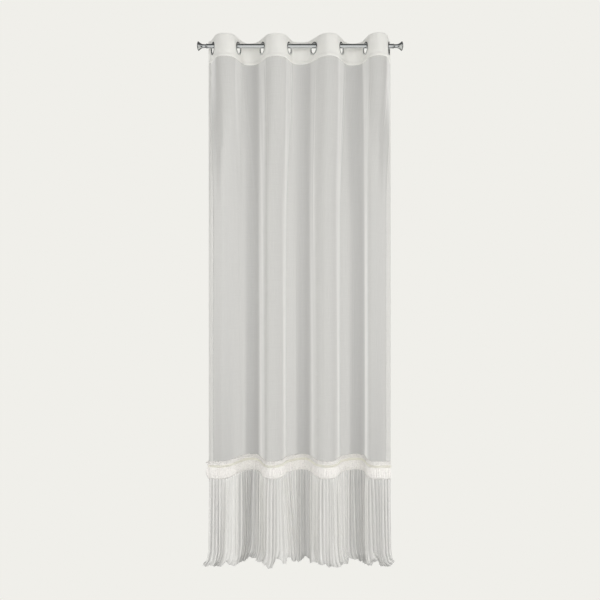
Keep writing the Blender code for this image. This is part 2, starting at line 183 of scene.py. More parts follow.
# The hem from left to right: how low it hangs at each place along the rod's direction, in mm
HemPoint = namedtuple("HemPoint", "x z")
HEM_LINE = table(
    HemPoint,
    (-456, -2438), (-436, -2446), (-418, -2441), (-400, -2451), (-384, -2437), (-366, -2446),
    (-344, -2429), (-330, -2443), (-304, -2453), (-284, -2459), (-268, -2453), (-254, -2454),
    (-243, -2446), (-228, -2454), (-201, -2451), (-176, -2431), (-166, -2429), (-158, -2438),
    (-147, -2455), (-129, -2457), (-119, -2433), (-111, -2411), (-98, -2415), (-82, -2441),
    (-66, -2447), (-50, -2436), (-36, -2455), (-12, -2463), (8, -2455), (24, -2443),
    (46, -2459), (60, -2464), (70, -2453), (90, -2438), (118, -2434), (136, -2455),
    (150, -2448), (178, -2453), (194, -2446), (207, -2463), (220, -2466), (236, -2446),
    (254, -2459), (280, -2453), (295, -2462), (306, -2452), (318, -2452), (334, -2441),
    (346, -2418), (360, -2416), (376, -2447), (390, -2447), (414, -2442), (426, -2432),
    (440, -2438), (458, -2435),
)
HEM_LEVEL = -2436.0 * MM  # about where the hem hangs, before its lobes
# Beside the middle hollow a band of pleats sweeps to the right on its way down, behind one bold pleat
SWEPT_MIDDLE, SWEPT_REACH, BOLD_REACH = 0.425, 0.10, 0.012  # shares of the flounce's length
SWEPT_BY = 34  # mm at the hem

# Finial, from the rod's end outwards: (along, radius) in mm
FINIAL_PROFILE = [
    (0.3, 0.0), (0.3, 9.8), (0.7, 10.5), (1.5, 10.8), (4.0, 10.8), (4.9, 10.4), (5.4, 9.4),
    (6.4, 8.7), (9.0, 8.4), (14.0, 8.3), (20.0, 8.7), (25.0, 9.6), (29.0, 11.1), (33.0, 13.4),
    (37.0, 16.5), (40.5, 19.3), (42.4, 20.7), (43.4, 21.4), (44.3, 21.4), (44.8, 20.8),
    (45.3, 19.6), (46.8, 16.6), (48.2, 12.4), (49.2, 7.6), (49.6, 3.6), (49.7, 0.0),
]
# Eyelet, half of its section from the groove round the rim to the inside of the hole: (deep, out) in mm
EYELET_SECTION = [
    (1.25, 24.6), (1.25, 29.6), (1.45, 30.2), (1.85, 30.5), (2.25, 30.35), (2.60, 29.6),
    (2.85, 28.2), (2.90, 26.6), (2.78, 25.0), (2.45, 23.6), (1.85, 22.6), (1.00, 22.1), (0.00, 22.0),
]


# ---------------------------------------------------------------- sizes and colours


def metres(name, description, value):
    return FloatProperty(name=name, description=description, default=value, unit="LENGTH", precision=4)


def number(name, description, value):
    return FloatProperty(name=name, description=description, default=value, precision=3)


def count(name, description, value):
    return IntProperty(name=name, description=description, default=value)


def colour(name, description, value):
    return FloatVectorProperty(
        name=name, description=description, default=value, subtype="COLOR", size=3, min=0.0, max=1.0
    )


class CurtainSizes(PropertyGroup):
    """Sizes of the curtain and its rod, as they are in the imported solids."""

    rod_radius: metres("Rod radius", "Outside radius of the rod", 10.0 * MM)
    rod_left: metres("Rod's left end", "Where the rod ends on the left", -440.0 * MM)
    rod_right: metres("Rod's right end", "Where the rod ends on the right", 441.0 * MM)
    eyelet_z: metres("Eyelet height", "Height of the eyelets' middle", -11.65 * MM)
    hole_radius: metres("Cloth hole", "Radius of the heading's holes", 25.05 * MM)
    heading_top: metres("Heading top", "Height of the cloth's upper edge", 36.5 * MM)
    heading_bottom: metres("Heading bottom", "Height of the heading's lower edge", -69.0 * MM)
    heading_thickness: metres("Heading thickness", "Doubled cloth and stiffener", 1.5 * MM)
    seam_band: metres("Seam band", "Height of the turned-in band along the heading", 11.0 * MM)
    trim_top: metres("Trim top", "Height at which the panel meets the trim", -1957.0 * MM)
    trim_bottom: metres("Trim bottom", "Height at which the flounce is sewn on", -2033.0 * MM)
    side_hem: metres("Side hem", "Width of the panel's turned-back side hems", 23.0 * MM)
    hem_gap: metres("Hem gap", "Space between the two layers of a side hem", 1.0 * MM)
    braid_middle: metres("Braid height", "Height of the braid's middle", -1980.5 * MM)
    braid_swing: metres("Braid swing", "Half the width of the plait", 4.4 * MM)
    braid_pitch: metres("Braid pitch", "Length of one turn of the plait", 9.0 * MM)
    yarn_radius: metres("Yarn radius", "Radius of one strand of the braid", 1.3 * MM)
    stitch_pitch: metres("Stitch pitch", "From one stitch to the next", 2.8 * MM)
    thread_radius: metres("Thread radius", "Radius of the sewing thread", 0.22 * MM)


class CurtainCounts(PropertyGroup):
    """How finely the pieces are divided."""

    panel_columns: count("Panel columns", "Steps across the panel", 460)
    panel_rows: count("Panel rows", "Steps down the panel", 140)
    heading_columns: count("Heading columns", "Steps across the heading", 420)
    ruches: count("Ruches", "Gathers along the trim", 112)
    pleats: count("Pleats", "Pleats of the flounce", 84)
    pleat_rows: count("Flounce rows", "Steps down the flounce", 44)


class CurtainColours(PropertyGroup):
    """Colours of the curtain, its rod and the studio, and how much of the cloth is yarn."""

    voile: colour("Voile", "White voile seen straight on", (0.447, 0.44, 0.427))
    shaded: colour("Shaded voile", "Voile in the hollows of the folds", (0.284, 0.28, 0.272))
    # voile_edge also gives the painted sheen: the voile is blended to it where it is seen aslant
    voile_edge: colour("Voile edge", "White voile seen along its surface", (0.846, 0.84, 0.814))
    pleated: colour("Pleated voile", "Flounce seen straight on", (0.747, 0.74, 0.717))
    ridge: colour("Pleat ridge", "A pressed crease that catches the light", (0.98, 0.97, 0.935))
    heading: colour("Heading", "Doubled and stiffened voile", (0.932, 0.926, 0.896))
    cream: colour("Cream", "Ruched trim", (0.885, 0.862, 0.828))
    # painted light: paler cream in the hollows of the folds and where the trim is seen aslant
    cream_painted_lit: colour("Deep cream", "Ruched trim in the hollows of the folds", (0.96, 0.942, 0.905))
    gold: colour("Pale gold", "Metallic yarn of the braid", (0.94, 0.92, 0.825))
    thread: colour("Thread", "Sewing thread", (0.88, 0.88, 0.86))
    chrome: colour("Chrome", "Polished rod, finials and eyelets", (0.70, 0.72, 0.72))
    studio: colour("Studio", "Floor and backdrop", (0.871, 0.863, 0.823))
    # painted shade: in the hollows of the folds more of the cloth is yarn, which darkens them
    shade_cover: number("Closer", "How much more of the cloth is yarn, in the hollows of the folds", 0.18)
    cover: number("Cover", "How much of the panel is yarn, seen straight on", 0.62)
    pleat_cover: number("Pleat cover", "How much of the flounce is yarn, seen straight on", 0.55)
    passes: number("Passes", "Share of the light that the yarn passes on", 0.42)
    passes_aslant: number("Passes aslant", "The same where the cloth is seen along its surface", 0.50)


class CurtainStudio(PropertyGroup):
    """Camera and lights. Powers are in watts."""

    camera_back: metres("Camera distance", "From the rod to the camera", 2.892)
    camera_down: metres("Camera height", "Height of the camera", -1.137)
    lens: number("Lens", "Focal length in mm on a 36 mm sensor", 36.46)
    shift: number("Shift", "Upward shift of the picture", -0.025)
    floor: metres("Floor", "Height of the floor", -2.52)
    front: number("Front light", "Power of the soft light straight in front", 68.0)
    key: number("Key light", "Power of the soft light in front, a little to the right", 26.0)
    fill: number("Fill light", "Power of the soft light at the right", 46.0)
    side: number("Side light", "Power of the soft light at the left", 32.0)
    rim_left: number("Left rim light", "Power of the light behind, to the left", 58.0)
    rim_right: number("Right rim light", "Power of the light behind, to the right", 50.0)
    ambient: number("Ambient", "Brightness of the air that lights the cloth from all round", 0.35)
    air: number("Air", "Brightness of what the chrome reflects", 1.0)


# ---------------------------------------------------------------- the cloth's plan

Spot = namedtuple("Spot", "x y along_x along_y")  # a point of the plan and the cloth's direction there


def mix(start, end, share):
    return start + (end - start) * share


def held(value, low, high):
    return min(max(value, low), high)


def smooth(share):
    share = held(share, 0.0, 1.0)
    return share * share * (3.0 - 2.0 * share)


def bump(distance, width):
    """1 at no distance, falling softly to 0 at the width."""
    return smooth(1.0 - abs(distance) / width)


def blended_fold(fold, low, hem):
    """One fold of the plan at a height: low goes 0 to 1 from heading to trim, hem from trim to hem."""
    x = mix(mix(fold.top_x, fold.low_x, low), fold.hem_x, hem)
    y = mix(mix(fold.top_y, fold.low_y, low), fold.hem_y, hem)
    lean = math.radians(mix(mix(fold.top_lean, fold.low_lean, low), fold.hem_lean, hem))
    return Vector((x, y)), Vector((math.cos(lean), math.sin(lean)))


def handle_lengths(start, start_along, end, end_along, crisp):
    """Handles that bend a curve into the corner where its end tangents meet."""
    gap = end - start
    chord = gap.length
    turn = start_along.x * end_along.y - start_along.y * end_along.x
    if abs(turn) > 0.12:
        first = (gap.x * end_along.y - gap.y * end_along.x) / turn
        last = (start_along.x * gap.y - start_along.y * gap.x) / turn
        if 0.0 < first < 1.5 * chord and 0.0 < last < 1.5 * chord:
            return crisp * first, crisp * last
    return chord / 3.0, chord / 3.0


def bend(start, start_along, end, end_along, crisp):
    """Spots along a cubic curve, without its last point."""
    first, last = handle_lengths(start, start_along, end, end_along, crisp)
    p1 = start + start_along * first
    p2 = end - end_along * last
    spots = []
    for i in range(BEND_STEPS):
        t = i / BEND_STEPS
        u = 1.0 - t
        place = start * u**3 + p1 * 3 * u * u * t + p2 * 3 * u * t * t + end * t**3
        way = (p1 - start) * u * u + (p2 - p1) * 2 * u * t + (end - p2) * t * t
        way.normalize()
        spots.append(Spot(place.x * MM, place.y * MM, way.x, way.y))
    return spots


def plan(low, hem):
    """The cloth's middle line in plan at one height, left to right."""
    straight = mix(mix(TOP_STRAIGHT, LOW_STRAIGHT, low), HEM_STRAIGHT, hem)
    spots = []
    for i, fold in enumerate(FOLDS):
        centre, along = blended_fold(fold, low, hem)
        half = straight if fold in FLANKS else 0.0
        enter = centre - along * half
        if i > 0:
            sharper = max(fold.crisp, FOLDS[i - 1].crisp)
            spots += bend(leave, leave_along, enter, along, mix(TOP_CRISP, sharper, low))
        if half > 0.0:
            spots.append(Spot(enter.x * MM, enter.y * MM, along.x, along.y))
        leave, leave_along = centre + along * half, along
    spots.append(Spot(leave.x * MM, leave.y * MM, leave_along.x, leave_along.y))
    return spots


class FoldLine:
    """The cloth's plan at one height, walked by its length from the left edge."""

    def __init__(self, low, hem=0.0):
        self.spots = plan(low, hem)
        self.reached = [0.0]
        for a, b in zip(self.spots, self.spots[1:]):
            self.reached.append(self.reached[-1] + math.hypot(b.x - a.x, b.y - a.y))
        self.length = self.reached[-1]

    def at(self, distance):
        """The spot at a distance. Beyond an edge the line goes straight on."""
        inside = held(distance, 0.0, self.length)
        i = held(bisect_right(self.reached, inside) - 1, 0, len(self.spots) - 2)
        a, b = self.spots[i], self.spots[i + 1]
        share = (inside - self.reached[i]) / max(self.reached[i + 1] - self.reached[i], 1e-9)
        x, y, along_x, along_y = (mix(p, q, share) for p, q in zip(a, b))
        way = Vector((along_x, along_y)).normalized()
        beyond = distance - inside
        return Spot(x + way.x * beyond, y + way.y * beyond, way.x, way.y)

    def share_of(self, name, low):
        """How far along the line a fold lies, as a share of its length."""
        centre = blended_fold(next(f for f in FOLDS if f.name == name), low, 0.0)[0] * MM
        nearest = min(range(len(self.spots)), key=lambda i: (self.spots[i].x - centre.x) ** 2)
        return self.reached[nearest] / self.length


def painted_middles(places, width, low):
    """Where painted places, of shade on the cloth and of light on the trim, lie along a cloth map that is
    so wide, on the heading's or the trim's plan.
    """
    line = FoldLine(low)
    aheads = [mix(place.top_ahead, place.low_ahead, low) * MM / line.length for place in places]
    return [width * (line.share_of(place.fold, low) + ahead) for place, ahead in zip(places, aheads)]


def stand_off(spot, distance, z):
    """A point off the fold line, towards the room where distance is positive."""
    return Vector((spot.x + spot.along_y * distance, spot.y - spot.along_x * distance, z))


def panel_low(z, sizes):
    """How far the plan has gone from the heading's to the trim's at a height of the panel."""
    share = (sizes.heading_bottom - z) / (sizes.heading_bottom - sizes.trim_top)
    return smooth(share / FOLDS_SETTLED_AT)


def row_at(rows, value):
    """A table's row at a value of its first column, blended from the two rows beside it."""
    for a, b in zip(rows, rows[1:]):
        if min(a[0], b[0]) <= value <= max(a[0], b[0]):
            share = (value - a[0]) / (b[0] - a[0])
            return type(a)(value, *(mix(p, q, share) for p, q in zip(a[1:], b[1:])))
    return min((rows[0], rows[-1]), key=lambda row: abs(value - row[0]))


# ---------------------------------------------------------------- meshes


def linked(name, data):
    """A new object of the scene."""
    thing = bpy.data.objects.new(name, data)
    bpy.context.scene.collection.objects.link(thing)
    return thing


def finished_piece(name, mesh, material):
    """A mesh as a piece that rides on the curtain's body."""
    mesh.materials.append(material)
    piece = linked(name, mesh)
    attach(piece, "root")
    return piece


def mesh_from(name, vertices, faces, maps=None, flat_angle=None):
    """A smooth mesh. maps are rows of the cloth map's coordinates, one for each vertex."""
    mesh = bpy.data.meshes.new(name)
    mesh.from_pydata([tuple(v) for v in vertices], [], faces)
    mesh.validate()
    mesh.shade_smooth()
    if flat_angle is not None:
        mesh.set_sharp_from_angle(angle=math.radians(flat_angle))
    if maps is not None:
        places = [place for row in maps for place in row]
        layer = mesh.uv_layers.new(name=CLOTH_MAP)
        corners = [0] * len(mesh.loops)
        mesh.loops.foreach_get("vertex_index", corners)
        layer.data.foreach_set("uv", [value for v in corners for value in places[v]])
    return mesh


def sheet_faces(rows, columns, start=0):
    """Faces between rows of vertices, top to bottom and left to right, facing the room."""
    corners = (start + r * columns + c for r in range(rows - 1) for c in range(columns - 1))
    return [(a, a + columns, a + columns + 1, a + 1) for a in corners]


def ring_faces(rings, sides, start=0, looped=False):
    """Faces between rings of vertices. A looped row of rings comes back to its first."""
    faces = []
    for r in range(rings if looped else rings - 1):
        a, b = start + r * sides, start + (r + 1) % rings * sides
        faces += [(a + s, a + (s + 1) % sides, b + (s + 1) % sides, b + s) for s in range(sides)]
    return faces


def bar_faces(rings, sides, start):
    """Faces of a bar: its rings joined, and both ends closed."""
    first = range(start, start + sides)
    last = (s + (rings - 1) * sides for s in first)
    return [*ring_faces(rings, sides, start), tuple(reversed(first)), tuple(last)]


def circle(sides):
    """Cosine and sine at each corner of a ring."""
    turns = [2.0 * math.pi * s / sides for s in range(sides)]
    return [(math.cos(turn), math.sin(turn)) for turn in turns]


def open_sheet(name, rows, maps):
    """One layer of cloth from rows of points."""
    return mesh_from(name, [p for row in rows for p in row], sheet_faces(len(rows), len(rows[0])), maps)


def closed_sheet(name, front, back, maps, flat_angle=None):
    """Two layers of cloth joined all round. back may have fewer rows than front, but equal columns."""
    columns = len(front[0])
    start = len(front) * columns
    faces = sheet_faces(len(front), columns)
    faces += [tuple(reversed(face)) for face in sheet_faces(len(back), columns, start)]
    front_end, back_end = start - columns, start + (len(back) - 1) * columns
    for c in range(columns - 1):
        faces.append((c, c + 1, start + c + 1, start + c))
        faces.append((front_end + c, back_end + c, back_end + c + 1, front_end + c + 1))
    for c, step in ((0, -1), (columns - 1, 1)):
        rim = [r * columns + c for r in range(len(front))]
        rim += [start + r * columns + c for r in reversed(range(len(back)))]
        faces.append(tuple(rim[::step]))
    points = [p for rows in (front, back) for row in rows for p in row]
    return mesh_from(name, points, faces, maps, flat_angle)


def turned_mesh(name, profile, sides, flat_angle=40.0):
    """A solid turned about X. profile runs from the axis to the axis, as (x, radius) in metres."""
    rings = profile[1:-1]
    vertices = [Vector((profile[0][0], 0.0, 0.0))]
    vertices += [Vector((x, radius * c, radius * s)) for x, radius in rings for c, s in circle(sides)]
    vertices.append(Vector((profile[-1][0], 0.0, 0.0)))
    last = len(vertices) - 1
    faces = ring_faces(len(rings), sides, 1)
    for i in range(sides):
        j = (i + 1) % sides
        faces += [(0, 1 + j, 1 + i), (last, last - sides + i, last - sides + j)]
    return mesh_from(name, vertices, faces, flat_angle=flat_angle)


def thread_mesh(name, runs, radius, sides=5):
    """Round threads along runs of points, all in one mesh."""
    vertices, faces = [], []
    for points in runs:
        faces += bar_faces(len(points), sides, len(vertices))
        for i, point in enumerate(points):
            way = (points[min(i + 1, len(points) - 1)] - points[max(i - 1, 0)]).normalized()
            out = way.orthogonal().normalized() if abs(way.z) > 0.9 else way.cross(UP).normalized()
            up = out.cross(way)
            vertices += [point + (out * c + up * s) * radius for c, s in circle(sides)]
    return mesh_from(name, vertices, faces)


# ---------------------------------------------------------------- materials


def maths(operation, turned=False):
    """An operator that adds a Math node. turned gives its reflected form."""

    def operator(self, *others):
        terms = (*others, self) if turned else (self, *others)
        return self.recipe.node("ShaderNodeMath", {"operation": operation}, dict(enumerate(terms)))

    return operator


class Value:
    """One socket of a material. Python's operators on it add Math nodes."""

    def __init__(self, recipe, socket):
        self.recipe, self.socket = recipe, socket

    __add__, __radd__ = maths("ADD"), maths("ADD", True)
    __sub__, __rsub__ = maths("SUBTRACT"), maths("SUBTRACT", True)
    __mul__, __rmul__ = maths("MULTIPLY"), maths("MULTIPLY", True)
    __truediv__, __rtruediv__ = maths("DIVIDE"), maths("DIVIDE", True)
    __pow__, __rpow__ = maths("POWER"), maths("POWER", True)
    sine, size = maths("SINE"), maths("ABSOLUTE")
    at_least, at_most = maths("MAXIMUM"), maths("MINIMUM")

    def held(self, low=0.0, high=1.0):
        return self.at_least(low).at_most(high)


class Recipe:
    """A material, or the studio's air, being made. node() adds every node that it has."""

    def __init__(self, name, kind="materials"):
        self.block = getattr(bpy.data, kind).new(name)
        self.block.use_nodes = True
        self.tree = self.block.node_tree
        self.tree.nodes.clear()

    def node(self, kind, settings=None, sockets=None, output=0):
        made = self.tree.nodes.new(kind)
        for name, value in (settings or {}).items():
            setattr(made, name, value)
        for name, value in (sockets or {}).items():
            if isinstance(value, Value):
                self.tree.links.new(value.socket, made.inputs[name])
            else:
                made.inputs[name].default_value = value
        return Value(self, made.outputs[output]) if made.outputs else None

    def cloth_map(self):
        return self.node("ShaderNodeUVMap", {"uv_map": CLOTH_MAP})

    def cloth_place(self, axis):
        """How far along the cloth (0) or up it (1) a point lies, in metres."""
        return self.node("ShaderNodeSeparateXYZ", None, {0: self.cloth_map()}, axis)

    def noise(self, place, scales, detail=2.0, roughness=0.5):
        """Noise over a place that is scaled along each axis."""
        scaled = self.node("ShaderNodeVectorMath", {"operation": "MULTIPLY"}, {0: place, 1: scales})
        sockets = {"Vector": scaled, "Scale": 1.0, "Detail": detail, "Roughness": roughness}
        return self.node("ShaderNodeTexNoise", None, sockets)

    def cloth_noise(self, along, up, detail=2.0, roughness=0.5):
        return self.noise(self.cloth_map(), (along, up, 1.0), detail, roughness)

    def blend(self, share, a, b):
        return self.node("ShaderNodeMix", {"data_type": "RGBA"}, {0: share, 6: a, 7: b}, 2)

    def relief(self, height, strength, depth):
        sockets = {"Height": height, "Strength": strength, "Distance": depth}
        return self.node("ShaderNodeBump", None, sockets)

    def grazing(self):
        """0 where the surface is seen straight on and 1 where it is seen along itself."""
        return self.node("ShaderNodeLayerWeight", None, {"Blend": 0.5}, "Facing")

    def cloth(self, shade, relief, glow, passes, roughness=0.85, gloss=0.25, sheen=0.25):
        """Cloth that passes on a share of the light, in the colour of its glow."""
        sockets = {"Base Color": shade, "Roughness": roughness, "Specular IOR Level": gloss}
        sockets.update({"Sheen Weight": sheen, "Sheen Roughness": 0.4, "Normal": relief})
        lit = self.node("ShaderNodeBsdfPrincipled", None, sockets)
        passed = self.node("ShaderNodeBsdfTranslucent", None, {"Color": glow, "Normal": relief})
        return self.node("ShaderNodeMixShader", None, {0: passes, 1: lit, 2: passed})

    def with_gaps(self, alpha, cloth):
        gaps = self.node("ShaderNodeBsdfTransparent", None, {"Color": (1, 1, 1, 1)})
        return self.finish(self.node("ShaderNodeMixShader", None, {0: alpha, 1: gaps, 2: cloth}))

    def finish(self, shader, output="ShaderNodeOutputMaterial"):
        self.node(output, None, {"Surface": shader})
        return self.block


def opaque(rgb, share=1.0):
    """A colour for a socket, or a share of it."""
    return (*(part * share for part in rgb), 1.0)


def painted_shade_share(recipe, places, width, drop=None):
    """How much painted shade darkens the cloth, more towards the trim, with more of it yarn there, over a
    cloth map that is so wide. drop is the heights between which the folds go from the heading's plan to
    the trim's, or None where they stay on the trim's."""
    along, gone, settled, near_trim = recipe.cloth_place(0), 1.0, 1.0, 0.0
    if drop:
        gone = ((drop[0] - recipe.cloth_place(1)) * (1.0 / (drop[0] - drop[1]))).held()
        settled = (gone * (1.0 / FOLDS_SETTLED_AT)).held()
        settled = settled * settled * (3.0 - settled * 2.0)
        # painted shade grows darker towards the trim
        near_trim = gone**4.0
    middles = zip(painted_middles(places, width, 0.0), painted_middles(places, width, 1.0))
    painted_shade = 0.0
    for place, (top, low) in zip(places, middles):
        reach = place.reach * MM * width / FoldLine(1.0).length
        offset = (along - mix(top, low, settled)) * (1.0 / reach)
        painted_shade = painted_shade + (1.0 - offset * offset).held() * mix(place.top_share, place.low_share, gone)
    return painted_shade * (1.0 + near_trim * TRIM_DARKENING) + near_trim * LEAST_DARKENING


def sheer_cloth(recipe, colours, face, cover, slub, painted_shade, hem_lines=None, creases=None):
    """Sheer woven cloth: threads with gaps between them, more of them in view where it is seen aslant, and
    a painted sheen that pales it there.

    painted_shade is how much painted shade darkens the cloth from place to place, with more of it yarn
    there. hem_lines are the places along the cloth map where the doubled side hems begin. creases is how
    many pressed creases there are in each metre of it: the outer ones get a painted highlight, the inner
    ones painted shade, and so does the curl of the hem."""
    edge, shaded = opaque(colours.voile_edge), opaque(colours.shaded)
    warp = recipe.cloth_noise(620.0, 9.0, 3.0, 0.6)
    weft = recipe.cloth_noise(9.0, 620.0, 3.0, 0.6)
    along, slant = recipe.cloth_place(0), recipe.grazing()
    threads = (warp - 0.5) * slub + (weft - 0.5) * (0.6 * slub)
    aslant = ((slant - 0.40) / 0.38).held() ** 1.5
    # painted sheen: paler towards the edge colour where the cloth is seen aslant
    shade = recipe.blend(aslant, opaque(face), edge)
    shade = recipe.blend((recipe.cloth_noise(7.0, 2.0) - 0.35) * 0.10, shade, opaque(face, 0.80))
    # painted shade in the hollows of the folds, fading where the cloth is seen aslant; more yarn in view
    # there too
    shade = recipe.blend(painted_shade * (1.0 - aslant), shade, shaded)
    cover = cover + painted_shade * colours.shade_cover
    if hem_lines:
        doubled = ((hem_lines[0] - along) * 2000.0).held() + ((along - hem_lines[1]) * 2000.0).held()
        cover = cover + doubled * 0.10
        shade = recipe.blend(doubled * 0.7, shade, edge)
    if creases:
        # painted highlight on the outer creases and painted shade on the inner ones
        turn = (along * (math.pi * creases) - 0.5 * math.pi).sine()
        pressed = ((recipe.cloth_noise(34.0, 1.2) - 0.32) * 3.0).held(0.3)
        outer = ((turn - 0.3) * 1.8).held() * pressed
        inner = ((turn + 0.1) * -1.3).held() * pressed
        shade = recipe.blend(outer, shade, opaque(colours.ridge))
        shade = recipe.blend(inner * 0.85, shade, shaded)
        # painted shade on the hem's curl
        curl = ((HEM_CURL - FLOUNCE_MAP_HEIGHT - recipe.cloth_place(1)) * (1.0 / HEM_CURL)).held()
        curl = curl * (recipe.cloth_noise(16.0, 4.0) * 2.4 - 0.5).held(0.2)
        cover = cover + outer * 0.12 + inner * 0.2 + curl * 0.18
        shade = recipe.blend(curl * 0.5, shade, shaded)
    open_share = (1.0 - cover - threads).held(0.08, 0.9)
    alpha = 1.0 - open_share ** (1.0 / (1.03 - slant))
    relief = recipe.relief(warp * 0.6 + weft * 0.4, 0.25, 0.0004)
    passes = colours.passes + aslant * (colours.passes_aslant - colours.passes)
    return recipe.with_gaps(alpha, recipe.cloth(shade, relief, edge, passes))


def heading_cloth(colours, sizes):
    """Doubled voile over a stiffener: faint level ribs, a denser band where it is turned in, and a painted
    sheen that leaves it plainer and paler where it is seen aslant.
    """
    recipe, base = Recipe("stiffened_voile"), colours.heading
    rib = recipe.cloth_noise(3.0, 230.0, 3.0, 0.6)
    warp = recipe.cloth_noise(700.0, 30.0)
    slant = recipe.grazing()
    band_top = sizes.heading_bottom + sizes.seam_band
    band = ((band_top - recipe.cloth_place(1)) * 1500.0).held()
    shade = recipe.blend((rib - 0.40) * 0.9, opaque(base), opaque(base, 0.90))
    shade = recipe.blend((recipe.cloth_noise(14.0, 40.0) - 0.45) * 0.5, shade, opaque(base, 0.92))
    # painted sheen: back to the plain base colour where seen aslant, and along the turned-in band
    shade = recipe.blend((slant * 0.3 + band * 0.6).held(), shade, opaque(base))
    relief = recipe.relief(rib * 0.7 + warp * 0.3, 0.35, 0.0006)
    alpha = ((warp - 0.5) * 0.06 + 0.93 + slant * 0.05 + band * 0.06).held()
    return recipe.with_gaps(alpha, recipe.cloth(shade, relief, opaque(base), 0.45, sheen=0.2))


def ruche_cloth(colours, sizes, width):
    """Gathered cream cloth: fine upright puckers in the weave, a thinner frill above the braid, and
    painted light that pales it in the hollows of the folds and where it is seen aslant.
    """
    recipe, base = Recipe("ruched_cream"), colours.cream
    pucker = recipe.cloth_noise(420.0, 90.0, 3.0, 0.6)
    fibre = recipe.cloth_noise(1500.0, 1500.0, 2.0, 0.6)
    crinkle = recipe.cloth_noise(70.0, 150.0, 3.0, 0.6)
    along = recipe.cloth_place(0)
    reach = TRIM_HOLLOWS[0].reach * MM * width / FoldLine(1.0).length
    offsets = [(along - middle) * (1.0 / reach) for middle in painted_middles(TRIM_HOLLOWS, width, 1.0)]
    hollow = sum((1.0 - offset * offset).held() for offset in offsets)
    # painted light: paler in the hollows of the folds and where the trim is seen aslant
    painted_light_share = (hollow + (recipe.grazing() - 0.14) * 1.7).held()
    frill = ((recipe.cloth_place(1) - (sizes.braid_middle + 6.0 * MM)) * 150.0).held()
    yellower = (base[0] * 0.98, base[1] * 0.97, base[2] * 0.94, 1.0)
    shade = recipe.blend(painted_light_share, opaque(base), opaque(colours.cream_painted_lit))
    shade = recipe.blend((pucker - 0.42) * 1.2, shade, opaque(base, 0.84))
    shade = recipe.blend(((crinkle - 0.48) * 4.0).held(0.0, 0.8), shade, opaque(base, 0.80))
    shade = recipe.blend((recipe.cloth_noise(24.0, 24.0) - 0.45) * 0.6, shade, yellower)
    shade = recipe.blend(frill * 0.5, shade, opaque(base, 0.78))
    relief = recipe.relief(pucker * 0.4 + fibre * 0.1 + crinkle * 0.5, 0.7, 0.0025)
    return recipe.finish(recipe.cloth(shade, relief, opaque(base), 0.15, 0.8, 0.3))


def yarn(name, rgb, roughness, metallic, twist):
    """Twisted yarn: fine slanting fibres with lighter and darker lengths."""
    recipe = Recipe(name)
    place = recipe.node("ShaderNodeTexCoord", None, None, "Object")
    fibre = recipe.noise(place, (twist, twist, 2.4 * twist), 2.0, 0.6)
    length = recipe.noise(place, (60.0, 60.0, 60.0))
    shade = recipe.blend((fibre - 0.35) * 1.3, opaque(rgb), opaque(rgb, 0.72))
    lighter = opaque([min(1.0, part * 1.12) for part in rgb])
    sockets = {
        "Base Color": recipe.blend((length - 0.4) * 0.8, shade, lighter),
        "Roughness": (fibre * 0.3 + (roughness - 0.15)).held(0.05),
        "Metallic": metallic,
        "Normal": recipe.relief(fibre, 0.5, 0.0003),
    }
    return recipe.finish(recipe.node("ShaderNodeBsdfPrincipled", None, sockets))


def chrome(colours):
    """Polished chrome with the faint drawn lines and hazy patches of handling."""
    recipe = Recipe("polished_chrome")
    place = recipe.node("ShaderNodeTexCoord", None, None, "Object")
    drawn = recipe.noise(place, (4.0, 900.0, 900.0))
    haze = recipe.noise(place, (22.0, 22.0, 22.0), 3.0)
    bright, hazy = opaque(colours.chrome), opaque(colours.chrome, 0.88)
    sockets = {
        "Base Color": recipe.blend((haze - 0.4) * 0.5, bright, hazy),
        "Metallic": 1.0,
        "Roughness": (0.09 + drawn * 0.05 + haze * 0.07).held(0.03, 0.4),
        "Normal": recipe.relief(drawn, 0.04, 0.0002),
    }
    return recipe.finish(recipe.node("ShaderNodeBsdfPrincipled", None, sockets))


def shared(name, maker, *terms):
    """A material that several pieces use, made once. Its name isn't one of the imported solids' slots."""
    return bpy.data.materials.get(name) or maker(*terms)


def polished(colours):
    return shared("polished_chrome", chrome, colours)


def sewing_thread(colours):
    return shared("thread", yarn, "thread", colours.thread, 0.6, 0.0, 1400.0)


# ---------------------------------------------------------------- pieces


def settings(context, *names):
    return [getattr(context.scene, f"curtain_{name}") for name in names]


def eyelet_frames(sizes):
    """Each eyelet's place: X along the cloth, Y up, Z out of its face."""
    frames = []
    for flank in FLANKS:
        centre, along = blended_fold(flank, 0.0, 0.0)
        way = along.to_3d()
        place = Matrix((way, UP, way.cross(UP))).transposed().to_4x4()
        place.translation = Vector((centre.x * MM, centre.y * MM, sizes.eyelet_z))
        frames.append(place)
    return frames


class CURTAIN_OT_rod(Operator):
    """Makes the polished rod"""

    bl_idname = "curtain.rod"
    bl_label = "Rod"

    def execute(self, context):
        sizes, colours = settings(context, "sizes", "colours")
        left, right, radius, bevel = sizes.rod_left, sizes.rod_right, sizes.rod_radius, 0.4 * MM
        profile = [(left, 0.0), (left, radius - bevel), (left + bevel, radius)]
        profile += [(right - bevel, radius), (right, radius - bevel), (right, 0.0)]
        mesh = turned_mesh("chrome_rod", profile, 96)
        piece = finished_piece("chrome_rod", mesh, polished(colours))
        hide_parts("rod")
        return {"FINISHED"}


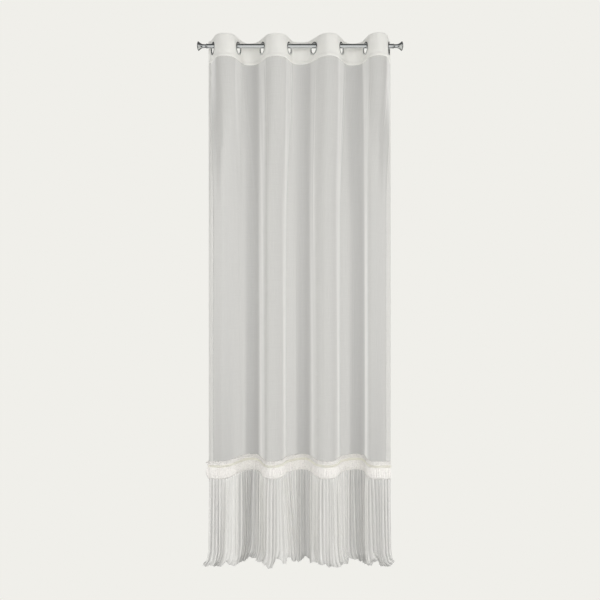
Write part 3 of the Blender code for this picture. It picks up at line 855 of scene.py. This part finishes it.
class CURTAIN_OT_finials(Operator):
    """Makes the two trumpet-shaped finials"""

    bl_idname = "curtain.finials"
    bl_label = "Finials"

    def execute(self, context):
        sizes, colours = settings(context, "sizes", "colours")
        right = [(sizes.rod_right + along * MM, radius * MM) for along, radius in FINIAL_PROFILE]
        left = [(sizes.rod_left - along * MM, radius * MM) for along, radius in reversed(FINIAL_PROFILE)]
        for side, profile in (("left", left), ("right", right)):
            name = f"chrome_finial_{side}"
            mesh = turned_mesh(name, profile, 72, 55.0)
            piece = finished_piece(name, mesh, polished(colours))
            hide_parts(f"finial_{side}")
        return {"FINISHED"}


class CURTAIN_OT_eyelets(Operator):
    """Makes the eight domed eyelets, each of two washers with a groove for the cloth between them"""

    bl_idname = "curtain.eyelets"
    bl_label = "Eyelets"

    def execute(self, context):
        sizes, colours = settings(context, "sizes", "colours")
        section = EYELET_SECTION + [(-deep, out) for deep, out in reversed(EYELET_SECTION[:-1])]
        points = [Vector((out * c, out * s, deep)) * MM for deep, out in section for c, s in circle(72)]
        faces = ring_faces(len(section), 72, looped=True)
        for i, place in enumerate(eyelet_frames(sizes), start=1):
            name = f"chrome_eyelet_{i}"
            mesh = mesh_from(name, [place @ point for point in points], faces, flat_angle=50.0)
            piece = finished_piece(name, mesh, polished(colours))
            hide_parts(f"eyelet_{i}")
        return {"FINISHED"}


def cut_holes(piece, sizes, sides=48):
    """Cuts the eight round holes through the heading."""
    vertices, faces, radius = [], [], sizes.hole_radius
    for place in eyelet_frames(sizes):
        faces += bar_faces(2, sides, len(vertices))
        for height in (-6.0 * MM, 6.0 * MM):
            vertices += [place @ Vector((radius * c, radius * s, height)) for c, s in circle(sides)]
    cutter = linked("hole_cutter", mesh_from("hole_cutter", vertices, faces))
    cut = piece.modifiers.new("holes", "BOOLEAN")
    cut.operation, cut.solver, cut.object = "DIFFERENCE", "EXACT", cutter
    bpy.context.view_layer.update()
    shown = piece.evaluated_get(bpy.context.evaluated_depsgraph_get())
    with_holes = bpy.data.meshes.new_from_object(shown)
    piece.modifiers.clear()
    piece.data = with_holes
    with_holes.shade_smooth()
    with_holes.set_sharp_from_angle(angle=math.radians(50.0))
    bpy.data.objects.remove(cutter, do_unlink=True)


def heading_waver(share, z):
    """How far the stiff heading strays from its plan: a few long, shallow dents."""
    return (0.35 * math.sin(31.0 * share + 9.0 * z) + 0.25 * math.sin(17.0 * share - 26.0 * z + 1.0)) * MM


class CURTAIN_OT_heading(Operator):
    """Makes the stiffened heading with its eyelet holes and the turned-in band along its lower edge"""

    bl_idname = "curtain.heading"
    bl_label = "Heading"

    def execute(self, context):
        sizes, counts, colours = settings(context, "sizes", "counts", "colours")
        line, half = FoldLine(0.0), sizes.heading_thickness / 2.0
        top, bottom, band = sizes.heading_top, sizes.heading_bottom, sizes.seam_band
        # height and half thickness: a rounded fold along the top, the denser band along the bottom
        levels = [(top, 0.35 * half), (top - 0.8 * MM, half)]
        levels += [(mix(top - 0.8 * MM, bottom + band + 0.6 * MM, i / 14), half) for i in range(1, 15)]
        levels += [(bottom + band, half + 0.45 * MM), (bottom + 0.5 * band, half + 0.5 * MM)]
        levels += [(bottom + 0.8 * MM, half + 0.4 * MM), (bottom, 0.5 * half)]
        shares = [c / counts.heading_columns for c in range(counts.heading_columns + 1)]
        spots = [(line.at(line.length * share), share) for share in shares]
        front, back = (
            [[stand_off(s, side * deep + heading_waver(u, z), z) for s, u in spots] for z, deep in levels]
            for side in (1.0, -1.0)
        )
        maps = [[(line.length * share, z) for share in shares] for z, deep in levels]
        mesh = closed_sheet("stiffened_heading", front, back, maps + maps, 50.0)
        piece = finished_piece("stiffened_heading", mesh, heading_cloth(colours, sizes))
        cut_holes(piece, sizes)
        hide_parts("heading")
        return {"FINISHED"}


def level_creases():
    """Each level crease, and how far along the cloth its middle lies, as a share."""
    placed = []
    for creases, low in ((AT_HEADING, 0.0), (AT_TRIM, 1.0)):
        line = FoldLine(low)
        placed += [(crease, line.share_of(crease.fold, low)) for crease in creases]
    return placed


def panel_relief(across, z, sizes, creases):
    """How far the panel's face stands off its plan: long unevenness and the listed creases."""
    down, z_mm = (sizes.heading_bottom - z) / MM, z / MM
    settled = smooth(down / 120.0) * smooth((z - sizes.trim_top) / MM / 60.0)
    depth = 0.55 * math.sin(58.0 * across + 0.8 * math.sin(down * 0.0031)) * settled
    depth += 0.30 * math.sin(143.0 * across - down * 0.0042 + 2.0) * settled
    for crease in UPRIGHT_CREASES:
        if crease.bottom < z_mm < crease.top + 1.0:
            gone = (crease.top - z_mm) / (crease.top - crease.bottom)
            distance = (across - crease.across - crease.drift * math.sin(3.0 * gone)) * PANEL_WIDTH_MM
            ends = smooth(gone / 0.12) * smooth((1.0 - gone) / 0.35)
            depth += crease.depth * bump(distance, crease.width) * ends
    for crease, centre in creases:
        if abs(z_mm - crease.z) < 12.0:
            distance = (across - centre) * PANEL_WIDTH_MM
            level = crease.z + 0.0022 * distance * distance
            depth += crease.depth * bump(z_mm - level, 6.0) * bump(distance, crease.reach)
    return depth * MM


class CURTAIN_OT_panel(Operator):
    """Makes the sheer panel, one layer of voile with its side hems turned back"""

    bl_idname = "curtain.panel"
    bl_label = "Sheer panel"

    def execute(self, context):
        sizes, counts, colours = settings(context, "sizes", "counts", "colours")
        top, bottom = sizes.heading_bottom - SEAM_GAP, sizes.trim_top + SEAM_GAP
        hem, gap, columns, width = sizes.side_hem, sizes.hem_gap, counts.panel_columns, PANEL_MAP_WIDTH
        turned = [hem * (1.0 - i / 8) for i in reversed(range(9))]  # from a hem's fold to its raw edge
        # how far out and how far behind the face the cloth lies, round the fold and along the hem
        round_fold = [(0.35 * gap, 0.15 * gap), (0.5 * gap, 0.5 * gap), (0.35 * gap, 0.85 * gap)]
        edge = round_fold + [(-inset, gap) for inset in turned]
        fold = FOLD_MAP_WIDTH
        across = [inset - hem for inset in reversed(turned)] + [-fold, 0.0, fold]
        across += [width * c / columns for c in range(columns + 1)]
        across += [width, width + fold, width + 2.0 * fold] + [width + inset for inset in turned]
        creases = level_creases()
        rows, maps, lengths = [], [], []
        for r in range(counts.panel_rows + 1):
            # rows lie closer together at the two seams, where the small creases are
            share = r / counts.panel_rows
            z = mix(top, bottom, mix(share, 0.5 - 0.5 * math.cos(math.pi * share), 0.75))
            line = FoldLine(panel_low(z, sizes))
            places = [(-out, behind) for out, behind in reversed(edge)]
            places += [(line.length * c / columns, 0.0) for c in range(columns + 1)]
            places += [(line.length + out, behind) for out, behind in edge]
            row = []
            for place, behind in places:
                depth = panel_relief(place / line.length, z, sizes, creases) - behind
                row.append(stand_off(line.at(place), depth, z))
            rows.append(row)
            maps.append([(place, z) for place in across])
            lengths.append(line.length)
        recipe = Recipe("sheer_voile")
        painted_shade = painted_shade_share(recipe, PANEL_PAINTED_SHADE, width, (top, bottom))
        hem_lines = (hem + 0.5 * MM, width - hem - 0.5 * MM)
        material = sheer_cloth(recipe, colours, colours.voile, colours.cover, 0.22, painted_shade, hem_lines)
        piece = finished_piece("sheer_panel", open_sheet("sheer_panel", rows, maps), material)
        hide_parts("panel")
        return {"FINISHED"}


def ruche(column, z):
    """How far a ruche stands out, from about -1 to 1. Ruches are uneven, and lean and fork a little."""
    lean = column + 0.35 * math.sin(0.21 * column + 60.0 * z) + 0.25 * math.sin(1.3 * column)
    uneven = 0.75 + 0.30 * math.sin(0.83 * column + 1.0) + 0.20 * math.sin(1.9 * column + 90.0 * z)
    return math.sin(math.pi * lean) * uneven + 0.25 * math.sin(2.1 * math.pi * lean + 110.0 * z)


def trim_point(line, distance, column, row):
    """A point of the trim's face, on one of its rows."""
    near_left = bump(distance, 0.022)
    wave = ruche(column, row.z * MM)
    scallop = 0.9 * MM * wave * smooth((row.z + 1966.0) / 9.0)
    spot = line.at(distance - row.ends * MM * near_left)
    wrinkle = 0.5 * row.droop / 4.0 * math.sin(row.z / 1.9 + 1.7 * math.sin(distance * 46.0))
    stand = (row.stand + row.gather * wave + min(wrinkle, 0.6)) * MM + 0.12 * row.ends * MM * near_left
    drop = row.droop * MM * smooth(0.15 - spot.y / 0.066)
    return stand_off(spot, stand, row.z * MM + scallop - drop)


class CURTAIN_OT_trim(Operator):
    """Makes the gathered trim, a frill above the braid and a soft puff below it"""

    bl_idname = "curtain.trim"
    bl_label = "Ruched trim"

    def execute(self, context):
        sizes, counts, colours = settings(context, "sizes", "counts", "colours")
        line = FoldLine(1.0)
        columns, steps = counts.ruches * 10, 26
        top, bottom = TRIM_ROWS[0].z, TRIM_ROWS[-1].z
        distances = [line.length * c / columns for c in range(columns + 1)]
        heights = [mix(top, bottom, r / steps) for r in range(steps + 1)]
        front = []
        for z in heights:
            row = row_at(TRIM_ROWS, z)
            front.append([trim_point(line, place, c / 5.0, row) for c, place in enumerate(distances)])
        spots = [line.at(distance) for distance in distances]
        back = [[stand_off(spot, -0.7 * MM, z * MM) for spot in spots] for z in (top - 0.2, bottom)]
        maps = [[(2.0 * distance, z * MM) for distance in distances] for z in (*heights, top, bottom)]
        mesh = closed_sheet("ruched_trim", front, back, maps)
        material = ruche_cloth(colours, sizes, 2.0 * line.length)
        piece = finished_piece("ruched_trim", mesh, material)
        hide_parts("trim")
        return {"FINISHED"}


class CURTAIN_OT_braid(Operator):
    """Makes the plaited gold braid along the trim"""

    bl_idname = "curtain.braid"
    bl_label = "Gold braid"

    def execute(self, context):
        sizes, colours = settings(context, "sizes", "colours")
        line = FoldLine(1.0)
        steps = int(line.length / sizes.braid_pitch * 14)
        strands = []
        for strand in range(3):
            points = []
            for i in range(steps + 1):
                distance = mix(-2.0 * MM, line.length + 2.0 * MM, i / steps)
                turn = 2.0 * math.pi * (distance / sizes.braid_pitch + strand / 3.0)
                sag = 0.5 * MM * math.sin(distance * 41.0) + 0.3 * MM * math.sin(distance * 97.0)
                z = sizes.braid_middle + sizes.braid_swing * math.sin(turn) + sag
                points.append(stand_off(line.at(distance), (3.0 + 0.8 * math.sin(2.0 * turn)) * MM, z))
            strands.append(points)
        mesh = thread_mesh("gold_plait", strands, sizes.yarn_radius, 6)
        material = yarn("gold_yarn", colours.gold, 0.45, 0.35, 900.0)
        piece = finished_piece("gold_plait", mesh, material)
        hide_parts("trim_braid")
        return {"FINISHED"}


def hem_height(x):
    """Height of the hem at a place along the rod's direction, eased between the points of its table."""
    x_mm = held(x / MM, HEM_LINE[0].x, HEM_LINE[-1].x)
    after = held(bisect_right([p.x for p in HEM_LINE], x_mm), 1, len(HEM_LINE) - 1)
    a, b = HEM_LINE[after - 1], HEM_LINE[after]
    return mix(a.z, b.z, smooth((x_mm - a.x) / (b.x - a.x))) * MM


def crease_point(line, crease, creases, row):
    """Where a pleat's crease lies on a row: how far along the cloth's line and how far off it, in metres.

    Odd creases stand towards the room and even ones away from it. No two pleats are alike: they differ in
    width and depth, fold over to one side or the other in groups, wander, and flute out at the hem."""
    share = crease / creases
    side = 1.0 if crease % 2 else -1.0
    uneven = 0.55 * math.sin(2.4 * crease) + 0.45 * math.sin(5.1 * crease + 1.0)
    leaning = 1.1 * math.sin(0.28 * crease + 1.0) + 0.7 * math.sin(0.63 * crease + 2.0 + 1.5 * row.drop)
    calm = smooth(crease / 5.0) * smooth((creases - crease) / 5.0)
    knife = 2.9 * side * held(1.6 * math.sin(0.13 * crease + 0.6), -1.0, 1.0)
    swept = SWEPT_BY * row.drop * bump(share - SWEPT_MIDDLE, SWEPT_REACH)
    shift = (2.2 * uneven + knife + row.wander * leaning + swept) * calm * MM
    deep = 1.0 + 0.36 * math.sin(3.7 * crease + 2.0) + 0.26 * math.sin(1.37 * crease)
    deep += 0.7 * bump(share - SWEPT_MIDDLE, BOLD_REACH)
    flute = row.flute * math.sin(0.62 * crease + 1.3 * math.sin(0.088 * crease))
    wave = 2.6 * math.sin(1.03 * crease + 1.2 * math.sin(0.16 * crease) + row.drop)
    wave *= smooth(row.drop * 4.0)
    return line.length * crease / creases + shift, (side * row.depth * deep + flute + wave) * MM


def flounce_row(line, creases, fine, row, top):
    """One row of the flounce: flat cloth between the creases, a little rounded at them."""
    marks = [crease_point(line, crease, creases, row) for crease in range(creases + 1)]
    points = []
    for step in range(creases * fine + 1):
        crease = min(step // fine, creases - 1)
        share = step / fine - crease
        (start, off_start), (end, off_end) = marks[crease], marks[crease + 1]
        spot = line.at(mix(start, end, share))
        off = mix(off_start, off_end, 0.5 * share + 0.5 * smooth(share))
        level = mix(HEM_LEVEL, hem_height(spot.x), row.hem)
        points.append(stand_off(spot, off, mix(top, level, row.drop)))
    return points


class CURTAIN_OT_flounce(Operator):
    """Makes the finely pleated flounce with its fluted, rolled hem"""

    bl_idname = "curtain.flounce"
    bl_label = "Pleated flounce"

    def execute(self, context):
        sizes, counts, colours = settings(context, "sizes", "counts", "colours")
        top = sizes.trim_bottom - SEAM_GAP
        creases, fine = 2 * counts.pleats, 4
        steps = creases * fine
        across = [FLOUNCE_MAP_WIDTH * step / steps for step in range(steps + 1)]
        rows, maps = [], []
        for r in range(counts.pleat_rows + 1):
            share = r / counts.pleat_rows
            drop = mix(share, 1.0 - (1.0 - share) ** 1.7, 0.85)  # closer rows towards the hem
            row = row_at(FLOUNCE_ROWS, drop)
            rows.append(flounce_row(FoldLine(1.0, row.spread), creases, fine, row, top))
            maps.append([(place, -FLOUNCE_MAP_HEIGHT * drop) for place in across])
        recipe = Recipe("pressed_voile")
        painted_shade = painted_shade_share(recipe, FLOUNCE_PAINTED_SHADE, FLOUNCE_MAP_WIDTH)
        cover, pressed = colours.pleat_cover, creases / FLOUNCE_MAP_WIDTH
        material = sheer_cloth(recipe, colours, colours.pleated, cover, 0.18, painted_shade, creases=pressed)
        mesh = open_sheet("pleated_flounce", rows, maps)
        piece = finished_piece("pleated_flounce", mesh, material)
        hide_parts("flounce")
        edge = [point - SEAM_GAP * UP for point in rows[-1]]
        mesh = thread_mesh("rolled_hem", [edge], 0.55 * MM)
        roll = finished_piece("rolled_hem", mesh, sewing_thread(colours))
        return {"FINISHED"}


def stitches(place, length, sizes):
    """Short arched stitches along a seam. place(distance, out) gives a point of it."""
    pitch = sizes.stitch_pitch
    arch = ((0.0, 0.0), (0.2, 1.0), (0.5, 1.3), (0.8, 1.0), (1.0, 0.0))
    runs = []
    for i in range(int(length / pitch)):
        start = (i + 0.15) * pitch
        runs.append([place(start + a * 0.7 * pitch, out * sizes.thread_radius) for a, out in arch])
    return runs


class CURTAIN_OT_stitching(Operator):
    """Makes the stitched seams of the heading and of the side hems"""

    bl_idname = "curtain.stitching"
    bl_label = "Stitching"

    def execute(self, context):
        sizes, colours = settings(context, "sizes", "colours")
        line, face = FoldLine(0.0), sizes.heading_thickness / 2.0
        seam_z = sizes.heading_bottom + sizes.seam_band + 0.6 * MM
        top, bottom = sizes.heading_bottom - 1.0 * MM, sizes.trim_top + 3.0 * MM
        steps, inset = 120, sizes.side_hem - 1.5 * MM
        lines = [FoldLine(panel_low(mix(top, bottom, i / steps), sizes)) for i in range(steps + 1)]
        heading_runs, hem_runs = [], []
        for side in (1.0, -1.0):

            def on_heading(distance, out):
                waver = heading_waver(distance / line.length, seam_z)
                return stand_off(line.at(distance), side * (face + out) + waver, seam_z)

            def on_hem(distance, out):
                share = min(distance / (top - bottom), 1.0)
                i = min(int(share * steps), steps - 1)
                z, points = mix(top, bottom, share), []
                for hem_line in (lines[i], lines[i + 1]):
                    where = inset if side > 0.0 else hem_line.length - inset
                    deep = panel_relief(where / hem_line.length, z, sizes, ())
                    points.append(stand_off(hem_line.at(where), deep + out + 0.1 * MM, z))
                return points[0].lerp(points[1], share * steps - i)

            heading_runs += stitches(on_heading, line.length, sizes)
            hem_runs += stitches(on_hem, top - bottom, sizes)
        seams = (("heading_stitches", heading_runs, "heading_cloth"), ("hem_stitches", hem_runs, "voile"))
        for name, runs, slot in seams:
            seam = thread_mesh(name, runs, sizes.thread_radius)
            finished_piece(name, seam, sewing_thread(colours))
        return {"FINISHED"}


# ---------------------------------------------------------------- stage, lights and camera


def soft_light(name, bearing, power):
    """A tall soft light that the chrome doesn't show. Its bearing is to the right, in degrees."""
    light = bpy.data.lights.new(name, "AREA")
    light.shape, light.size, light.size_y, light.energy = "RECTANGLE", 1.6, 2.6, power
    turn, middle = math.radians(bearing), Vector((0.0, 0.0, -1.2))
    lamp = linked(name, light)
    lamp.location = (3.6 * math.sin(turn), -3.6 * math.cos(turn), -1.2)
    lamp.rotation_euler = (middle - lamp.location).to_track_quat("-Z", "Y").to_euler()
    lamp.visible_glossy = False


def stage_piece(name, vertices, faces, material):
    mesh = mesh_from(name, vertices, faces)
    mesh.materials.append(material)
    piece = linked(name, mesh)
    piece.visible_diffuse = piece.visible_glossy = piece.visible_transmission = False
    piece.visible_shadow = False


def studio_air(studio):
    """What the chrome reflects: bright in front from eye height down, dark overhead and low at the sides,
    with a window's height of light far out to the left and right."""
    recipe = Recipe("studio_air", "worlds")
    way = recipe.node("ShaderNodeTexCoord", None, None, "Generated")
    right, back, up = (recipe.node("ShaderNodeSeparateXYZ", None, {0: way}, axis) for axis in range(3))
    front = (back * -1.0).held()
    low = ((0.40 - up) * 4.0).held()
    under = (up * -1.0).held()
    low_aside = ((right.size() - 0.14) * 4.0).held() * ((up + 0.04) * -6.0).held()
    window = ((right.size() - 0.75) * 5.0).held() * ((0.34 - up.size()) * 5.0).held()
    reflected = recipe.node("ShaderNodeLightPath", None, None, "Is Glossy Ray")
    room = (front * low * 0.75 + under * 0.30 + 0.10) * (1.0 - low_aside * 0.85) + window * 0.4
    level = room * studio.air * reflected + (1.0 - reflected) * studio.ambient
    air = recipe.node("ShaderNodeBackground", None, {"Color": (1.0, 1.0, 0.99, 1.0), "Strength": level})
    return recipe.finish(air, "ShaderNodeOutputWorld")


class CURTAIN_OT_studio(Operator):
    """Makes the pale floor and backdrop, the soft lights and the camera"""

    bl_idname = "curtain.studio"
    bl_label = "Studio"

    def execute(self, context):
        scene = context.scene
        studio, colours = settings(context, "studio", "colours")
        recipe = Recipe("pale_studio")
        glow = {"Color": opaque(colours.studio), "Strength": 1.0}
        pale = recipe.finish(recipe.node("ShaderNodeEmission", None, glow))
        reach, sides, levels = 9.0, 64, 12
        dome = []
        for level in range(levels + 1):
            angle = 0.5 * math.pi * level / (levels + 0.2)
            out, z = reach * math.cos(angle), studio.floor + reach * math.sin(angle)
            dome += [Vector((out * c, out * s, z)) for c, s in circle(sides)]
        walls = [tuple(reversed(face)) for face in ring_faces(levels + 1, sides)]
        stage_piece("floor", dome[:sides], [tuple(range(sides))], pale)
        stage_piece("backdrop", dome, walls + [tuple(range(levels * sides, (levels + 1) * sides))], pale)
        soft_light("front", 0.0, studio.front)
        soft_light("key", 30.0, studio.key)
        soft_light("fill", 64.0, studio.fill)
        soft_light("side", -60.0, studio.side)
        soft_light("rim_left", -125.0, studio.rim_left)
        soft_light("rim_right", 120.0, studio.rim_right)
        scene.world = studio_air(studio)
        lens = bpy.data.cameras.new("camera")
        lens.lens, lens.sensor_width, lens.shift_y = studio.lens, 36.0, studio.shift
        lens.clip_start, lens.clip_end = 0.05, 60.0
        camera = linked("camera", lens)
        camera.location = (0.0, -studio.camera_back, studio.camera_down)
        camera.rotation_euler = (math.pi / 2.0, 0.0, 0.0)
        scene.camera = camera
        scene.view_settings.view_transform = "Standard"
        return {"FINISHED"}


OPERATORS = (
    CURTAIN_OT_rod, CURTAIN_OT_finials, CURTAIN_OT_eyelets, CURTAIN_OT_heading, CURTAIN_OT_panel,
    CURTAIN_OT_trim, CURTAIN_OT_braid, CURTAIN_OT_flounce, CURTAIN_OT_stitching, CURTAIN_OT_studio,
)
GROUPS = {
    "curtain_sizes": CurtainSizes,
    "curtain_counts": CurtainCounts,
    "curtain_colours": CurtainColours,
    "curtain_studio": CurtainStudio,
}


class CURTAIN_PT_pieces(Panel):
    """Lists the curtain's pieces, sizes and colours."""

    bl_idname = "CURTAIN_PT_pieces"
    bl_label = "Voile curtain"
    bl_space_type = "VIEW_3D"
    bl_region_type = "UI"
    bl_category = "Curtain"

    def draw(self, context):
        for operator in OPERATORS:
            self.layout.operator(operator.bl_idname)
        for group, kind in GROUPS.items():
            box = self.layout.box()
            for name in kind.__annotations__:
                box.prop(getattr(context.scene, group), name)


CLASSES = (*GROUPS.values(), *OPERATORS, CURTAIN_PT_pieces)


def register():
    for kind in CLASSES:
        bpy.utils.register_class(kind)
    for name, kind in GROUPS.items():
        setattr(bpy.types.Scene, name, PointerProperty(type=kind))


def unregister():
    for name in GROUPS:
        delattr(bpy.types.Scene, name)
    for kind in reversed(CLASSES):
        bpy.utils.unregister_class(kind)


def main():
    register()
    bpy.ops.curtain.rod()
    bpy.ops.curtain.finials()
    bpy.ops.curtain.eyelets()
    bpy.ops.curtain.heading()
    bpy.ops.curtain.panel()
    bpy.ops.curtain.trim()
    bpy.ops.curtain.braid()
    bpy.ops.curtain.flounce()
    bpy.ops.curtain.stitching()
    bpy.ops.curtain.studio()


if __name__ == "__main__":
    main()
